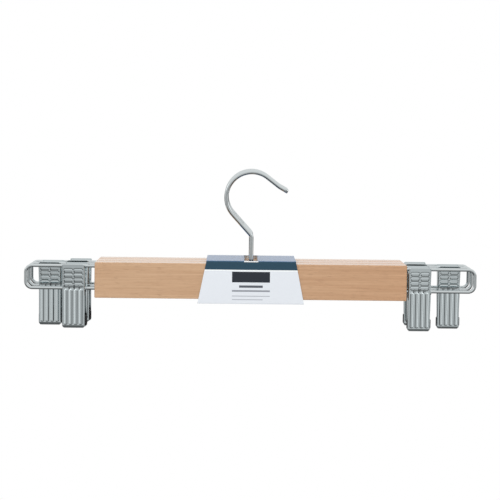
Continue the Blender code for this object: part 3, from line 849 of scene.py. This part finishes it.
def make_handling_group():
    """Fine scratches and faint clouds, the marks that handling leaves on plate and lacquer."""
    tree, _, out = group_with("handling_marks", [], ["Roughness"])
    where = object_coordinates(tree)
    cloud = noise(tree, where, 90.0, 4.0, 0.6)
    scratch = noise(tree, mapped(tree, where, Scale=(60, 60, 900)), 3.0, 6.0, 0.7)
    scratch = remap(tree, scratch, 0.58, 0.72, 0.0, 1.0)
    both = math_node(tree, "MULTIPLY_ADD", scratch, 0.5, cloud)
    tree.links.new(both, out.inputs["Roughness"])
    return tree


def handled_roughness(tree, shader, group, low, high):
    """Runs the handling marks into a shader's roughness, between two values."""
    marks = node(tree, "ShaderNodeGroup", node_tree=group)
    spread = remap(tree, marks.outputs["Roughness"], 0.3, 1.1, low, high)
    tree.links.new(spread, shader.inputs["Roughness"])


def make_print_box_group():
    """1 inside a rectangle of the sleeve's front, 0 outside it, from the place in X and Z."""
    tree, inside, out = group_with(
        "print_box",
        [("Vector", (0.0, 0.0, 0.0)), ("Left", 0.0), ("Right", 0.0), ("Foot", 0.0), ("Top", 0.0)],
        ["Mask"],
    )
    split = parts_of(tree, inside.outputs["Vector"])
    tests = [
        math_node(tree, "GREATER_THAN", split["X"], inside.outputs["Left"]),
        math_node(tree, "LESS_THAN", split["X"], inside.outputs["Right"]),
        math_node(tree, "GREATER_THAN", split["Z"], inside.outputs["Foot"]),
        math_node(tree, "LESS_THAN", split["Z"], inside.outputs["Top"]),
    ]
    mask = tests[0]
    for test in tests[1:]:
        mask = math_node(tree, "MULTIPLY", mask, test)
    tree.links.new(mask, out.inputs["Mask"])
    return tree


# Materials


def chrome_material(name, base, rough, waviness, handling):
    """Bright plate: a metal with handling marks, over a sheet that isn't quite flat."""
    material, tree, shader = new_material(name, rough[0], 1.0)
    shader.inputs["Base Color"].default_value = colour(*base)
    handled_roughness(tree, shader, handling, *rough)
    wave = noise(tree, object_coordinates(tree), 260.0, 2.0, 0.4)
    bump(tree, shader, wave, waviness)
    return material


def wood_material(name, seed, handling):
    """Pale lacquered hardwood: straight grain along X, short pores, slow bands, and end grain.

    The seed moves the pattern by so many metres in X and Z.
    """
    material, tree, shader = new_material(name, 0.5, 0.0, LACQUER)
    place = mapped(tree, object_coordinates(tree), Location=(seed, 0, seed))
    slow = noise(tree, mapped(tree, place, Scale=(7, 70, 70)), 1.0, 3.0, 0.5, 0.6)
    fine = noise(tree, mapped(tree, place, Scale=(14, 900, 900)), 1.0, 4.0, 0.55)
    pores = noise(tree, mapped(tree, place, Scale=(110, 2600, 2600)), 1.0, 2.0, 0.5)
    pores = remap(tree, pores, 0.60, 0.72, 0.0, 1.0)
    figure = node(
        tree,
        "ShaderNodeTexWave",
        {
            "Vector": mapped(tree, place, Scale=(2.2, 45, 45)),
            "Scale": 1.0,
            "Distortion": 7.0,
            "Detail": 2.0,
            "Detail Scale": 3.0,
        },
        bands_direction="Z",
    ).outputs["Fac"]
    rightward = remap(tree, parts_of(tree, place)["X"], seed - 0.10, seed + 0.13, 0.0, 1.0)
    base = two_tone(tree, remap(tree, slow, 0.3, 0.7, 0, 1), WOOD_GROUND)
    base = mix_colour(tree, rightward, base, colour(*WOOD_RIGHT))
    figure = math_node(tree, "MULTIPLY", figure, remap(tree, rightward, 0.0, 1.0, 0.06, 0.22))
    base = mix_colour(tree, figure, base, colour(*WOOD_FIGURE))
    base = mix_colour(tree, remap(tree, fine, 0.38, 0.68, 0, 0.5), base, colour(*WOOD_FINE))
    base = mix_colour(tree, math_node(tree, "MULTIPLY", pores, 0.45), base, colour(*WOOD_PORES))
    section = mapped(tree, place, Scale=(0, 1, 1))
    rings = node(
        tree,
        "ShaderNodeTexWave",
        {"Vector": section, "Scale": 110.0, "Distortion": 2.5, "Detail": 3.0},
        wave_type="RINGS",
        rings_direction="X",
    ).outputs["Fac"]
    grain_end = two_tone(tree, rings, WOOD_END)
    sideways = math_node(tree, "ABSOLUTE", facing_parts(tree)["X"])
    end = math_node(tree, "GREATER_THAN", sideways, SQUARELY)
    tree.links.new(mix_colour(tree, end, base, grain_end), shader.inputs["Base Color"])
    handled_roughness(tree, shader, handling, 0.42, 0.6)
    bump(tree, shader, math_node(tree, "SUBTRACT", fine, pores), 0.00006)
    return material


def pad_material(handling):
    """Black moulded pad with a fine matt skin and cross ribs."""
    material, tree, shader = new_material("black_pvc_pad", 0.5, 0.0)
    where = object_coordinates(tree)
    speck = noise(tree, where, 1400.0, 3.0, 0.6)
    tree.links.new(two_tone(tree, speck, PAD_BLACK), shader.inputs["Base Color"])
    handled_roughness(tree, shader, handling, 0.42, 0.62)
    ribs = node(
        tree,
        "ShaderNodeTexWave",
        {"Vector": where, "Scale": 320.0},
        bands_direction="Z",
    ).outputs["Fac"]
    bump(tree, shader, math_node(tree, "MULTIPLY_ADD", speck, 0.3, ribs), 0.00012)
    return material


def steel_material(handling):
    """Drawn spring wire, a little darker than the plate."""
    material, tree, shader = new_material("spring_wire", 0.3, 1.0)
    draw = noise(tree, object_coordinates(tree), 700.0, 3.0, 0.6)
    tree.links.new(two_tone(tree, draw, SPRING_GREY), shader.inputs["Base Color"])
    handled_roughness(tree, shader, handling, 0.22, 0.4)
    bump(tree, shader, draw, 0.00001)
    return material


def card_material(boxes):
    """Coated card: pale on both sides, a dark band over the top fold, and plain printed marks."""
    material, tree, shader = new_material("printed_card", 0.45, 0.0, CARD_GLOSS)
    where = object_coordinates(tree)
    split, facing = parts_of(tree, where), facing_parts(tree)
    fibre = noise(tree, where, 900.0, 4.0, 0.65)
    edge_line = math_node(tree, "GREATER_THAN", split["Z"], BAND_FOOT - BAND_LINE)
    pale = mix_colour(tree, edge_line, two_tone(tree, fibre, CARD_PALE), colour(*BAND_EDGE))
    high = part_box("card_sleeve")[1]
    depth = math_node(tree, "ABSOLUTE", split["Y"])
    outside_front = math_node(tree, "GREATER_THAN", depth, high.y - SKIN_DEPTH)
    outside_top = math_node(tree, "GREATER_THAN", split["Z"], high.z - SKIN_DEPTH)
    skin = math_node(tree, "MAXIMUM", outside_front, outside_top)
    band = math_node(tree, "GREATER_THAN", split["Z"], BAND_FOOT)
    # Where the band faces up it takes a paler blue than its front: painted sheen on the top face
    upward = math_node(tree, "GREATER_THAN", facing["Z"], SQUARELY)
    band_tone_with_sheen = mix_colour(tree, upward, two_tone(tree, fibre, BAND_FRONT), colour(*BAND_TOP_SHEEN))
    base = mix_colour(tree, math_node(tree, "MULTIPLY", band, skin), pale, band_tone_with_sheen)
    front = math_node(tree, "LESS_THAN", facing["Y"], -0.5)
    front = math_node(tree, "MULTIPLY", front, math_node(tree, "LESS_THAN", split["Y"], 0.0))
    for left, right, foot, top, tone in PRINT:
        edges = {"Left": left * MM, "Right": right * MM, "Foot": foot * MM, "Top": top * MM}
        box = node(tree, "ShaderNodeGroup", {"Vector": where, **edges}, node_tree=boxes)
        mask = math_node(tree, "MULTIPLY", box.outputs["Mask"], front)
        base = mix_colour(tree, mask, base, colour(*tone))
    tree.links.new(base, shader.inputs["Base Color"])
    rough = remap(tree, fibre, 0.3, 0.7, 0.38, 0.5)
    tree.links.new(rough, shader.inputs["Roughness"])
    bump(tree, shader, fibre, 0.00002)
    return material


# The object


def build_hooks(chrome):
    """A hook on each swivel, from one mesh."""
    base = hook_mesh()
    for name in HANGERS:
        place = place_of(f"{name}_hook_swivel") * [1, 1, 0]
        mesh = moved_mesh(f"{name}_hook_wire", base, 0, place)
        add_piece(f"{name}_hook_wire", mesh, chrome, f"{name}_hook", f"{name}_hook")


def build_loops(chrome):
    """A wire loop in each end of each bar."""
    for side, sign in SIDES.items():
        base = loop_mesh(sign)
        for name in HANGERS:
            place = place_of(f"{name}_hook_swivel") * [0, 1, 0]
            piece = f"{name}_{side}_loop"
            mesh = moved_mesh(piece, base, 0, place)
            add_piece(piece, mesh, chrome, "pack", f"{name}_{side}_wire_loop")


def build_clips(sheet_chrome, rubber, steel):
    """Six clips. Each half is the same stamping, pad and leg, turned half round for the rear."""
    jaw, pad, coil, leg = jaw_mesh(), pad_mesh(), coil_mesh(), leg_mesh()
    for name in HANGERS:
        for side in SIDES:
            prefix = f"{name}_{side}"
            body, spring = f"{prefix}_clip", f"{prefix}_spring"
            hinge = place_of(f"{prefix}_rear_hinge")
            mesh = moved_mesh(f"{prefix}_coil", coil, 0, hinge)
            add_piece(f"{prefix}_coil", mesh, steel, body, spring)
            for facing, turn in (("face", 0.0), ("rear", math.pi)):
                body, start = f"{prefix}_{facing}_side", f"{prefix}_{facing}"
                mesh = moved_mesh(f"{start}_stamping", jaw, turn, hinge)
                add_piece(f"{start}_stamping", mesh, sheet_chrome, body, f"{start}_jaw")
                mesh = moved_mesh(f"{start}_grip", pad, turn, hinge)
                add_piece(f"{start}_grip", mesh, rubber, body, f"{start}_pad")
                mesh = moved_mesh(f"{start}_spring_leg", leg, turn, hinge)
                add_piece(f"{start}_spring_leg", mesh, steel, body)


def dress_cad_nodes(woods, chrome):
    """Puts wood and plate on the bars and washers, which keep their CAD shapes."""
    for i, name in enumerate(HANGERS):
        for part, material in ((f"{name}_bar", woods[i]), (f"{name}_hook_washer", chrome)):
            shown = frame["nodes"][part]
            shown.data.materials.clear()
            shown.data.materials.append(material)


# Stage, light and camera


def white_to_eye(material):
    """Plain white to the camera, in reflections and through glass. Other rays meet the shader."""
    tree = material.node_tree
    shader = tree.nodes["Principled BSDF"]
    glow = node(tree, "ShaderNodeEmission", {"Color": (1, 1, 1, 1), "Strength": 1.0})
    path = node(tree, "ShaderNodeLightPath").outputs
    seen = math_node(tree, "MAXIMUM", path["Is Camera Ray"], path["Is Glossy Ray"])
    seen = math_node(tree, "MAXIMUM", seen, path["Is Transmission Ray"])
    mixed = node(tree, "ShaderNodeMixShader", {0: seen, 1: shader.outputs[0], 2: glow.outputs[0]})
    tree.links.new(mixed.outputs[0], tree.nodes["Material Output"].inputs["Surface"])


def build_floor():
    """A white floor below the object, hidden from glossy rays, so that they see the studio."""
    level = cad_box[0][2] - FLOOR_DROP
    corners = ((-1, -1), (1, -1), (1, 1), (-1, 1))
    points = [(FLOOR_REACH * x, FLOOR_REACH * y, level) for x, y in corners]
    mesh = bpy.data.meshes.new("studio_floor")
    mesh.from_pydata(points, [], [(0, 1, 2, 3)])
    floor = bpy.data.objects.new("studio_floor", mesh)
    bpy.context.scene.collection.objects.link(floor)
    material, _, shader = new_material("studio_floor", 0.9)
    shader.inputs["Base Color"].default_value = (0.9, 0.9, 0.9, 1)
    white_to_eye(material)
    mesh.materials.append(material)
    floor.visible_glossy = False


def brightness_curve(tree, part, stops):
    """The brightness that a list of stops gives, for one part of a direction from -1 to 1."""
    share = remap(tree, part, -1.0, 1.0, 0.0, 1.0)
    made = node(tree, "ShaderNodeValToRGB", {"Fac": share})
    ramp = made.color_ramp.elements
    while len(ramp) < len(stops):
        ramp.new(0.5)
    for stop, (place, value) in zip(ramp, sorted(stops)):
        stop.position = (place + 1) / 2
        stop.color = (value, value, value, 1)
    return made.outputs["Color"]


def build_world():
    """White to the eye. Reflections show a studio: bright above, and dimmer at the floor's level.

    Its brightness there is a curve of the direction's height for the front's left, the front's
    right and the back, blended across. That is multiplied by a curve of how far to the side is
    looked, which fades out upward. The lit panels are added: how bright one is by how far to the
    side, times how bright it is by how far back.
    """
    world = bpy.data.worlds.new("studio")
    bpy.context.scene.world = world
    world.use_nodes = True
    tree = world.node_tree
    background = tree.nodes["Background"]
    direction = node(tree, "ShaderNodeTexCoord").outputs["Generated"]
    split = parts_of(tree, direction)
    left = brightness_curve(tree, split["Z"], STUDIO_LEFT)
    right = brightness_curve(tree, split["Z"], STUDIO_RIGHT)
    back = brightness_curve(tree, split["Z"], STUDIO_BACK)
    rightward = remap(tree, split["X"], *ACROSS, 0.0, 1.0)
    backward = remap(tree, split["Y"], *BACKWARD, 0.0, 1.0)
    seen = mix_value(tree, rightward, left, right)
    seen = mix_value(tree, backward, seen, back)
    sideways = math_node(tree, "ABSOLUTE", split["X"])
    dimmed = brightness_curve(tree, sideways, STUDIO_SIDES)
    upward = remap(tree, split["Z"], *SIDES_TOP, 0.0, 1.0)
    dimmed = mix_value(tree, upward, dimmed, 1.0)
    seen = math_node(tree, "MULTIPLY", seen, dimmed)
    panel = brightness_curve(tree, sideways, PANEL_SIDEWAYS)
    panel = math_node(tree, "MULTIPLY", panel, PANEL_LIGHT)
    panel = math_node(tree, "MULTIPLY", panel, brightness_curve(tree, split["Y"], PANEL_BACKWARDS))
    seen = math_node(tree, "ADD", seen, panel)
    path = node(tree, "ShaderNodeLightPath").outputs
    mirror = mix_value(tree, path["Is Glossy Ray"], WORLD_LIGHT, seen)
    plain = math_node(tree, "MAXIMUM", path["Is Camera Ray"], path["Is Transmission Ray"])
    final = mix_value(tree, plain, mirror, 1.0)
    tree.links.new(final, background.inputs["Strength"])
    background.inputs["Color"].default_value = (1, 1, 1, 1)


def add_area_light(name, place, size, power):
    """A rectangular lamp that lights the object and doesn't show in its reflections."""
    lamp = bpy.data.lights.new(name, "AREA")
    lamp.shape = "RECTANGLE"
    lamp.size, lamp.size_y = size
    lamp.energy = power
    item = bpy.data.objects.new(name, lamp)
    bpy.context.scene.collection.objects.link(item)
    item.visible_glossy = False
    item.matrix_world = look_matrix(place, np.array(LAMP_AIM, float) - np.array(place, float))


def look_matrix(place, forward, roll=0.0):
    """A camera's or lamp's matrix: it looks forward with its right side level, then is rolled."""
    forward = np.array(forward, float) / np.linalg.norm(forward)
    right = np.cross(forward, [0, 0, 1])
    right /= np.linalg.norm(right)
    up = np.cross(right, forward)
    turned = math.cos(roll) * right + math.sin(roll) * up
    up = np.cross(turned, forward)
    columns = [turned, up, -forward, np.array(place, float)]
    rows = [[float(column[i]) for column in columns] for i in range(3)]
    return Matrix([*rows, [0, 0, 0, 1]])


def build_camera():
    """The photograph's view: from a little above the hooks' level, tilted down at the bars."""
    yaw, pitch, roll = (math.radians(angle) for angle in CAMERA_TURN)
    forward = (
        math.sin(yaw) * math.cos(pitch),
        math.cos(yaw) * math.cos(pitch),
        -math.sin(pitch),
    )
    camera = bpy.data.cameras.new("camera")
    camera.sensor_width = 36
    camera.lens = CAMERA_LENS
    camera.shift_y = CAMERA_SHIFT
    camera.clip_start = 0.01
    item = bpy.data.objects.new("camera", camera)
    bpy.context.scene.collection.objects.link(item)
    item.matrix_world = look_matrix(CAMERA_PLACE, forward, roll)
    bpy.context.scene.camera = item


def main():
    """Materials, camera, the object's pieces, and the stage round them."""
    handling = make_handling_group()
    wire_chrome = chrome_material("wire_chrome", *WIRE_PLATE, handling)
    sheet_chrome = chrome_material("sheet_chrome", *SHEET_PLATE, handling)
    woods = [
        wood_material(f"beech_{name}", WOOD_SHIFT * i, handling) for i, name in enumerate(HANGERS)
    ]
    build_camera()
    dress_cad_nodes(woods, wire_chrome)
    build_hooks(wire_chrome)
    build_loops(wire_chrome)
    build_clips(sheet_chrome, pad_material(handling), steel_material(handling))
    card = card_material(make_print_box_group())
    add_piece("folded_sleeve", sleeve_mesh(), card, "pack", "card_sleeve")
    build_floor()
    build_world()
    for lamp in LAMPS:
        add_area_light(*lamp)
    bpy.context.scene.view_settings.view_transform = "Standard"


main()
